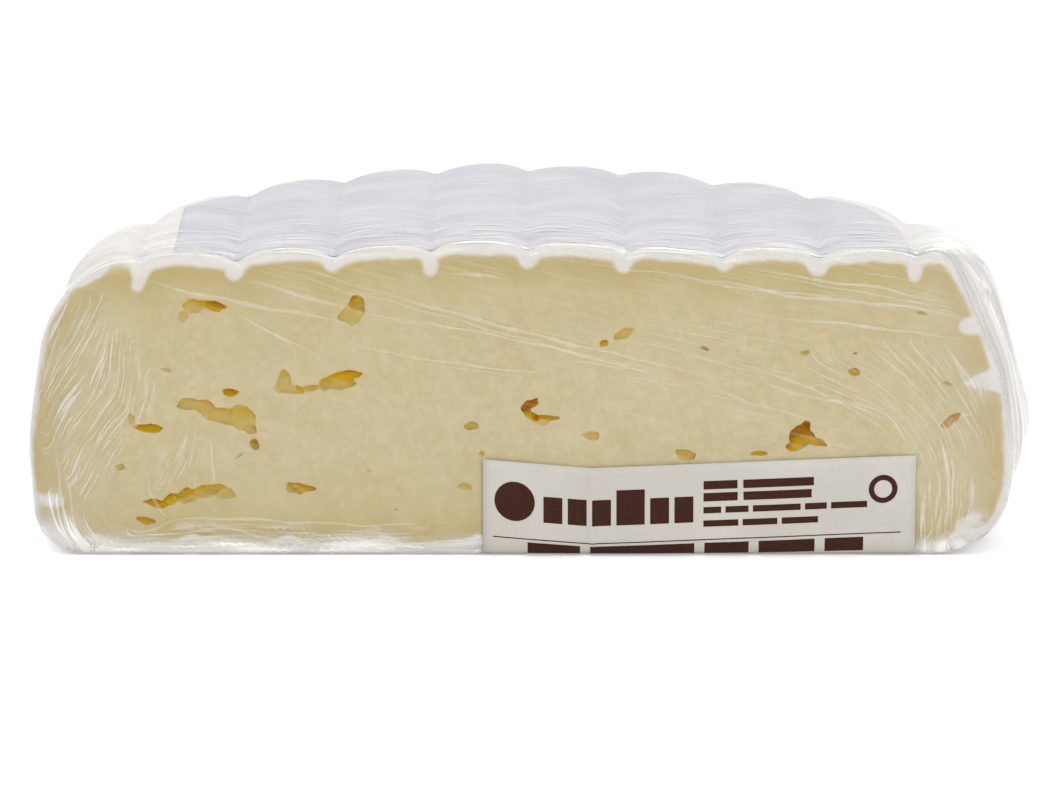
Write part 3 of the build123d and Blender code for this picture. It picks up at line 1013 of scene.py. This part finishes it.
def make_film():
    """A closed skin just outside the cheese, stretched over its grooves and eyes."""
    film, outline = half_wheel("film", (0.5, 0.0))
    points, normals = mesh_points(film), read_vectors(film.data.vertex_normals, "vector")
    x, y, z = points.T
    behind = smooth(y, FRONT + 1, FRONT + 5)
    gap = FILM_GAP + FILM_BROAD * (1 + 0.6 * waves(points, 12, 41)) * behind
    right = smooth(x, 56, 62) * (1 - smooth(y, FRONT + 12, FRONT + 34)) * behind
    gap += STRETCH * right * bell(z - 31, 7)
    gap = np.where(z < 3, np.minimum(gap, FILM_GAP), gap)
    on_label = smooth(x, PRICE_LOW[0] - 0.6, PRICE_LOW[0])
    on_label *= 1 - smooth(x, PRICE_HIGH[0], PRICE_HIGH[0] + 0.6)
    on_label *= (1 - smooth(y, PRICE_HIGH[1], PRICE_HIGH[1] + 0.6)) * (1 - smooth(z, 4, 6))
    gap *= 1 - PRESSED * on_label
    points = points + normals * gap[:, None]
    points[:, 2] = np.maximum(points[:, 2], FLOOR_GAP + LABEL_GAP * on_label)
    film.data.vertices.foreach_set("co", (points * MM).ravel())
    film.data.update()

    inside = np.full(len(points), FAR_OFF)
    front = np.flatnonzero(points[:, 1] < FRONT + EDGE_ROUNDING)
    inside[front] = to_line(points[front][:, (0, 2)], outline)
    flow, streak = film_flow(points, normals)
    set_attribute(film, "haze", film_haze(points, inside, behind))
    set_attribute(film, "flow", flow)
    set_attribute(film, "streak", streak)
    return film


# ======== the film's folds
# A fold's five rows of points: how far to the side, how high, and how milky, as shares. The milky white
# is partly painted highlight.
FOLD_ROWS = [(1, 0, 0), (0.5, 0.7, 0.55), (0, 1, 1), (-0.5, 0.7, 0.55), (-1, 0, 0)]
FOLD_LIFT = 0.01  # off the film
OFF_FLOOR = 0.004  # a fold's least height over the floor
LEAST_POINTS, MOST_POINTS, POINT_STEP = 7, 48, 1.1  # along a fold


def fold_strip(surface, guide, width, height, strength, rng):
    """One fold of the film: a thin ridge with pointed ends that follows the surface."""
    length = float(np.linalg.norm(np.diff(np.asarray(guide, float), axis=0), axis=1).sum())
    count = max(LEAST_POINTS, min(MOST_POINTS, int(length / POINT_STEP)))
    found = [surface.find_nearest(Vector(point)) for point in flowing(guide, count)]
    line, normals = (np.array([near[i][:] for near in found]) for i in (0, 1))
    along = np.gradient(line, axis=0)
    along /= np.linalg.norm(along, axis=1)[:, None] + 1e-9
    across = np.cross(normals, along)
    across /= np.linalg.norm(across, axis=1)[:, None] + 1e-9
    share = np.linspace(0, 1, count)
    phase = rng.uniform(0, 6.28)
    lively = 1 + 0.3 * np.sin(share * length * 0.9 + phase)
    lively += 0.2 * np.sin(share * length * 2.3 + 2 * phase)
    taper = np.sin(pi * np.clip(share, 0.015, 0.985)) ** 0.6
    half = (width / 2 * (0.4 + 0.6 * taper) * lively)[:, None]
    tall = (height * taper * lively)[:, None]
    sway = (0.12 * np.sin(share * length * 0.6 + phase) * taper)[:, None]
    line = line + across * sway
    rows = [line + across * half * side + normals * (FOLD_LIFT + tall * up) for side, up, _ in FOLD_ROWS]
    points = np.stack(rows, axis=1).reshape(-1, 3)
    points[:, 2] = np.maximum(points[:, 2], OFF_FLOOR)
    ridge = np.outer(taper, [milk for _, _, milk in FOLD_ROWS]).ravel() * strength
    return points, grid_faces(count, len(rows)), ridge


def sheaf_folds(rng, lines, count, width, strength, share):
    """Folds that flow together: each takes a stretch of a track between two lines."""
    tracks = [flowing(line, TRACK_POINTS) for line in lines]
    folds = []
    for i in range(count):
        place = (i + rng.uniform(0.1, 0.9)) / count * (len(tracks) - 1)
        track = track_between(tracks, place)
        long = rng.uniform(*share)
        start = rng.uniform(0, 1 - long)
        last = TRACK_POINTS - 1
        points = track[np.linspace(start * last, (start + long) * last, 5).astype(int)]
        folds.append((points, width * rng.uniform(0.6, 1.5), strength * rng.uniform(0.5, 1.3)))
    return folds


def face_folds(rng):
    """The folds on the cut face. Each fold is a guide in space, a width, a height and a strength."""
    flat = [(points, width, LONG_SHOWN * strength) for points, width, strength in LONG_FOLDS]
    for lines, _, *folds in SHEAVES:
        flat += sheaf_folds(rng, lines, *folds)
    short_folds = 26
    for _ in range(short_folds):
        x, z = rng.uniform(-40, 58), rng.uniform(16, 41)
        long, fall = rng.uniform(3, 12), rng.uniform(0.12, 0.35)
        points = [(x, z), (x + long / 2, z - fall * long / 2 + 0.1), (x + long, z - fall * long)]
        flat.append((points, rng.uniform(0.2, 0.4), rng.uniform(0.08, 0.2)))
    made = []
    for points, width, strength in flat:
        guide = [(x, FRONT - 1.0, z) for x, z in points]
        made.append((guide, width, 0.07 * width, strength))
    return made


def top_folds(rng):
    """Folds on the top: rows that follow the cut along each rib, then pleats at its corners."""
    made = []
    rows = 14
    for row in range(rows):
        fading = 1 - 0.6 * row / rows
        for groove in np.arange(-4, 4) * PITCH + TOP_SHIFT:
            if rng.random() > 0.75 * fading:
                continue
            start = groove + rng.uniform(0, 5)
            end = groove + PITCH - rng.uniform(0, 5)
            y = FRONT + 1.2 + 1.25 * row + rng.uniform(-0.3, 0.3)
            flat = (start, y), ((start + end) / 2, y - 0.25), (end, y + rng.uniform(-0.2, 0.2))
            points = [(*place, HEIGHT + 2) for place in flat]
            made.append((points, rng.uniform(0.4, 0.8), 0.06, rng.uniform(0.4, 0.8) * fading))
    for side, x, count in ((-1, -51, 9), (1, 56.0, 12)):
        for i in range(count):
            start_x = x + rng.uniform(-3, 2) * side
            start = np.array([start_x, FRONT + 0.8 + 7 * (i + rng.random()) / count])
            run = np.array([side * rng.uniform(1.5, 5), rng.uniform(0.2, 1.5)])
            points = [(*(start + run * share), HEIGHT + 1) for share in (0, 0.5, 1)]
            made.append((points, rng.uniform(0.3, 0.5), 0.05, rng.uniform(0.2, 0.4)))
    return made


def down_wall(turn, lean, top, long, shares):
    """Points just outside the wall, from the top down, that lean round it on the way."""
    points = []
    for share in shares:
        height = top - long * share
        radius = RADIUS + 2.5 - 0.2 * max(0.0, height - 16)
        at = turn + lean * share
        points.append((radius * cos(at), CENTRE + radius * sin(at), height))
    return points


def wall_folds(rng):
    """Streaks on the wall: close and parallel behind the cut, in loose groups round the back."""
    made = []
    near_cut, groups = 14, 18
    for end, way in ((0.0, 1), (pi, -1)):
        for i in range(near_cut):
            turn = end + way * (-0.12 + 0.52 * (i + rng.random()) / near_cut)
            top = 43.5 - 22 * rng.random() ** 1.8
            long = min(top - 3, rng.uniform(12, 32))
            lean = way * rng.uniform(-0.05, -0.02)
            points = down_wall(turn, lean, top, long, (0, 0.35, 0.7, 1))
            made.append((points, rng.uniform(0.3, 0.6), 0.04, rng.uniform(0.12, 0.28)))
    for i in range(groups):
        middle = 0.45 + (pi - 0.9) * (i + rng.random()) / groups
        lean, height = rng.uniform(-0.16, 0.16), rng.uniform(18, 42)
        for j in range(rng.randint(2, 4)):
            top = min(43, height + rng.uniform(-4, 4))
            long = min(top - 2, rng.uniform(6, 18))
            points = down_wall(middle + 0.035 * j, lean, top, long, (0, 0.5, 1))
            made.append((points, rng.uniform(0.25, 0.5), 0.05, rng.uniform(0.2, 0.45)))
    return made


def under_folds(rng):
    """Under the cheese the film is gathered towards one place."""
    made = []
    count = 44
    for i in range(count):
        turn = 2 * pi * (i + rng.random()) / count
        way = np.array([cos(turn), sin(turn)])
        near, far = rng.uniform(3, 16), rng.uniform(20, 60)
        ends = [GATHER + way * near, GATHER + way * far]
        if any(y < FRONT + 3 or (x**2 + (y - CENTRE) ** 2) ** 0.5 > 60 for x, y in ends):
            continue
        if ends[1][1] < PRICE_HIGH[1] + 2 and ends[1][0] > PRICE_LOW[0] - 2:
            continue
        points = [(x, y, 0.0) for x, y in (ends[0], sum(ends) / 2, ends[1])]
        made.append((points, rng.uniform(0.5, 1.0), 0.04, rng.uniform(0.4, 0.7)))
    return made


def make_folds(film):
    """All folds as one mesh."""
    rng = random.Random(SEED)
    surface = surface_of(film)
    folds = face_folds(rng) + top_folds(rng) + wall_folds(rng) + under_folds(rng)
    strips = [fold_strip(surface, *fold, rng) for fold in folds]
    piece = make_object("film_folds", *joined([(points, quads) for points, quads, _ in strips]))
    set_attribute(piece, "ridge", np.concatenate([ridge for _, _, ridge in strips]))
    return piece


# ======== labels
PAPER = 0.10  # its thickness
LABEL_OUT = 0.42  # the price label's outer side, before the cut face
FOLD_RADIUS = EDGE_ROUNDING + LABEL_OUT
LABEL_WIDTH = PRICE_HIGH[0] - PRICE_LOW[0]
LABEL_LENGTH = PRICE_HIGH[1] - FRONT + PRICE_HIGH[2] - 1.5  # its bend cuts the cheese's corner
LABEL_BOTTOM = 0.05
CREASE_AT = 15.2  # from the label's left side
CREASE_DEPTH, CREASE_WIDTH = 0.30, 0.55
INK_LIFT = 0.02
ROUND_STEPS = 40
TOP_LABEL_GAP = 0.11  # from the cheese to the top label's upper side


def price_top(across):
    """Height of the label's upper edge: it dips to a crease and rises to the right."""
    left = PRICE_HIGH[2] - 0.1 - 0.085 * across
    right = PRICE_HIGH[2] - 1.98 + 0.041 * across
    return float(soft_max(left, right, 0.25))


def price_point(across, down, out=0.0):
    """A point on the label: across from its left side, down from its upper edge, along the
    paper as it turns under the cheese."""
    x = PRICE_LOW[0] + across
    straight = price_top(across) - FOLD_RADIUS
    crease = CREASE_DEPTH * bell(across - CREASE_AT, CREASE_WIDTH)
    bend = FOLD_RADIUS * pi / 2
    y_face = FRONT - LABEL_OUT - crease - 0.05 * sin(across * 0.35)
    if down <= straight:
        return (x, y_face - out, FOLD_RADIUS + straight - down)
    if down <= straight + bend:
        turn = (down - straight) / FOLD_RADIUS
        flat = smooth(turn, 0, pi / 2) * crease
        radius = FOLD_RADIUS - LABEL_BOTTOM + out
        return (x, y_face + flat + FOLD_RADIUS - radius * cos(turn), FOLD_RADIUS - radius * sin(turn))
    return (x, y_face + crease + FOLD_RADIUS + down - straight - bend, LABEL_BOTTOM - out)


def stations(low, high, marks):
    """The two ends and every mark between them."""
    return [low, *(mark for mark in sorted(marks) if low + 0.02 < mark < high - 0.02), high]


def label_patch(left, right, top, bottom, out):
    """Points and faces of a rectangle of the label. Paper and print bend at the same stations."""
    at_crease = CREASE_AT + np.arange(-2, 2.01, 0.25)
    at_bend = np.arange(10, 16, 0.2)
    across = stations(left, right, [*np.arange(0, LABEL_WIDTH, 1.5), *at_crease])
    down = stations(top, bottom, [*np.arange(0, 10, 1.0), *at_bend, *np.arange(16, 60, 2.0)])
    points = [price_point(x, y, out) for y in down for x in across]
    return np.array(points), grid_faces(len(down), len(across), True)


def thicken(sheet):
    """Gives a sheet the paper's thickness, under it."""
    thick = sheet.modifiers.new("paper", "SOLIDIFY")
    thick.thickness = PAPER * MM
    thick.offset = -1
    bake_modifiers(sheet)
    return sheet


def make_price_label():
    patch = label_patch(0, LABEL_WIDTH, 0, LABEL_LENGTH, 0.0)
    return thicken(make_object("price_label_paper", *patch))


def bars(left, right, top, bottom, widths, gap):
    """Bars of the given relative widths that fill a row."""
    scale = (right - left - gap * (len(widths) - 1)) / sum(widths)
    made, x = [], left
    for width in widths:
        made.append((x, x + width * scale, top, bottom))
        x += width * scale + gap
    return made


def heading(left, right, top, bottom):
    """A row of bars of two heights, in place of a name."""
    row = bars(left, right, top, bottom, [0.8, 0.8, 0.8, 1.2, 0.8, 0.8], 0.75)
    return [(a, b, top + (0.0 if i == 3 else 1.3), bottom) for i, (a, b, _, _) in enumerate(row)]


# Rows of words as bars: left, right, top, bottom, how many, and the gap between them.
WORDS_BY_HEADING = [
    (30.6, 45.9, 2.5, 3.7, 2, 0.8),
    (30.6, 45.6, 4.2, 5.4, 2, 0.8),
    (30.6, 53.3, 6.2, 7.1, 5, 0.6),
    (30.6, 46.5, 8.1, 9.0, 3, 0.6),
]
WORDS_UNDER_RULE = [
    (6.2, 52.8, 11.3, 13.5, 5, 1.4),
    (6.2, 40.0, 16.5, 17.4, 5, 0.6),
    (6.2, 34.0, 18.6, 19.5, 4, 0.6),
]
WORDS_BY_STRIPES = [
    (38.0, 54.0, 23.0, 25.4, 2, 0.8),
    (38.0, 54.0, 28.0, 32.5, 2, 1.2),
    (6.2, 52.0, 37.0, 38.0, 7, 0.6),
]
# The other marks: left, right, top, bottom.
HEADING = (8.4, 29.2, 3.3, 8.3)
RULE = (1.4, 58.0, 10.75, 10.9)
STRIPES = (6.2, 32.0, 23.0, 33.0)
STRIPE_COUNT = 30
RING = (55.5, 4.6, 2.0, 1.25)  # across, down, and its two radii
DISC = (4.4, 5.6, 2.8)


def price_print():
    """The generic print as rectangles on the label: left, right, top, bottom."""
    rng = random.Random(SEED + 1)

    def words(rows):
        made = []
        for left, right, top, bottom, count, gap in rows:
            made += bars(left, right, top, bottom, [rng.uniform(0.5, 1.6) for _ in range(count)], gap)
        return made

    marks = heading(*HEADING) + words(WORDS_BY_HEADING)
    marks += [RULE] + words(WORDS_UNDER_RULE)
    stripes = [rng.choice((0.3, 0.3, 0.6, 0.9)) for _ in range(STRIPE_COUNT)]
    marks += bars(*STRIPES, stripes, 0.42)
    return marks + words(WORDS_BY_STRIPES)


def circle(across, down, radius):
    """Points of ink on a circle round a place on the label."""
    turns = np.linspace(0, 2 * pi, ROUND_STEPS, endpoint=False)
    return [price_point(across + radius * cos(a), down + radius * sin(a), INK_LIFT) for a in turns]


def make_price_print():
    """The print, with a plain ring and a plain disc, as thin mesh on the label."""
    across, down, outer, inner = RING
    ring_points = circle(across, down, outer) + circle(across, down, inner)
    following = [(i, (i + 1) % ROUND_STEPS) for i in range(ROUND_STEPS)]
    ring_faces = [(i, j, ROUND_STEPS + j, ROUND_STEPS + i) for i, j in following]
    patches = [label_patch(*mark, INK_LIFT) for mark in price_print()]
    patches.append((ring_points, ring_faces))
    patches.append((circle(*DISC), [range(ROUND_STEPS)]))
    return make_object("price_label_print", *joined(patches))


def make_top_label():
    """The paper on top lies on the ribs and sags a little between them."""
    columns, rows = 160, 80
    left, front = TOP_LOW[:2]
    right, back = TOP_HIGH[:2]
    column, row = np.meshgrid(np.arange(columns), np.arange(rows))
    x = left + (right - left) * column.ravel() / (columns - 1)
    end = CENTRE + np.sqrt(np.maximum((back - CENTRE) ** 2 - x**2, 0.0))
    y = front + (np.maximum(end, front + 1) - front) * row.ravel() / (rows - 1)
    share = 0.95 - 0.45 * smooth(y, front + 1, front + 12)
    z = HEIGHT + top_relief(x, y, share) + TOP_LABEL_GAP
    return thicken(make_object("top_label_paper", np.stack([x, y, z], axis=1), grid_faces(rows, columns)))


# ======== stage
FLOOR_REACH = 6000.0  # from its middle
FRAME_WIDTH = 145.8  # what the picture takes in at the cut face, side to side
CAMERA_DISTANCE = 1000.0
CAMERA_ELEVATION = radians(12)
AIM = (1.04, 23.05)  # x and z at the middle of the picture
SENSOR = 36.0
# Lamps, all aimed at the same place: name, place and size in metres, and watts.
LAMPS = [
    ("key", (-0.35, -0.45, 0.95), 0.6, 2.4),
    ("front", (0.4, -1.08, 0.16), 0.8, 2.8),
    ("side", (1.0, -0.3, 0.3), 0.7, 1.0),
    ("back", (0.2, 0.9, 0.7), 0.7, 2.0),
]
LAMPS_AIM = (0, 0, 0.02)


def seen(n):
    """1 where the camera looks, straight, through film or by a reflection, and 0 for other light."""
    path = n.add("ShaderNodeLightPath").outputs
    direct = n.math("MAXIMUM", path["Is Camera Ray"], path["Is Glossy Ray"])
    return n.math("MAXIMUM", direct, path["Is Transmission Ray"])


def make_stage():
    """A pale floor in a white world. Both look a little brighter than they light the cheese."""
    corners = [(x * FLOOR_REACH, y * FLOOR_REACH, 0) for x, y in ((-1, -1), (1, -1), (1, 1), (-1, 1))]
    floor = make_object("floor", corners, [(0, 1, 2, 3)])
    material, n, shader = new_material("floor", {
        "Base Color": (0.93, 0.93, 0.93, 1.0),
        "Roughness": 0.9,
        "Specular IOR Level": 0.0,
        "Emission Color": (1.0, 1.0, 1.0, 1.0),
    })
    n.link(n.times(seen(n), 0.25), shader.inputs["Emission Strength"])
    floor.data.materials.append(material)

    world = bpy.data.worlds.new("studio")
    bpy.context.scene.world = world
    world.use_nodes = True
    n = Nodes(world.node_tree)
    background = world.node_tree.nodes["Background"]
    background.inputs["Color"].default_value = (1.0, 1.0, 1.0, 1.0)
    n.link(n.ramp(seen(n), 0.0, 1.0, 0.86, 1.0), background.inputs["Strength"])


def make_lights():
    for name, place, size, watts in LAMPS:
        light = bpy.data.lights.new(name, "AREA")
        light.shape = "DISK"
        light.size = size
        light.energy = watts
        lamp = add_object(name, light)
        lamp.location = place
        lamp.rotation_euler = (Vector(LAMPS_AIM) - Vector(place)).to_track_quat("-Z", "Y").to_euler()


def make_camera():
    data = bpy.data.cameras.new("camera")
    data.sensor_width = SENSOR
    data.lens = SENSOR * CAMERA_DISTANCE / FRAME_WIDTH
    data.clip_start = 0.01
    camera = add_object("camera", data)
    aim = Vector((AIM[0], FRONT, AIM[1]))
    away = Vector((0, -cos(CAMERA_ELEVATION), sin(CAMERA_ELEVATION))) * CAMERA_DISTANCE
    camera.location = (aim + away) * MM
    camera.rotation_euler = (pi / 2 - CAMERA_ELEVATION, 0, 0)
    bpy.context.scene.camera = camera


# ======== the scene
make_camera()
make_stage()
make_lights()

cheese = make_cheese()
film = make_film()
folds = make_folds(film)
paper = make_price_label()
ink = make_price_print()
top_paper = make_top_label()

price_finish = paper_material("price_paper", srgb(199, 195, 188), srgb(192, 187, 179), 0.55)
top_finish = paper_material("top_paper", srgb(207, 206, 213), srgb(200, 200, 209), 0.7)
for piece, material, slot in (
    (cheese, brie_material(), "brie"),
    (film, film_material(), "film"),
    (folds, fold_material(), "film"),
    (paper, price_finish, "price_label_paper"),
    (ink, ink_material(), "price_label_ink"),
    (top_paper, top_finish, "top_label_paper"),
):
    piece.data.materials.clear()
    piece.data.materials.append(material)
    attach(piece, "root")

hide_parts("wrapped_brie")
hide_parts("price_label")
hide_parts("top_label")

bpy.context.scene.view_settings.view_transform = "Standard"
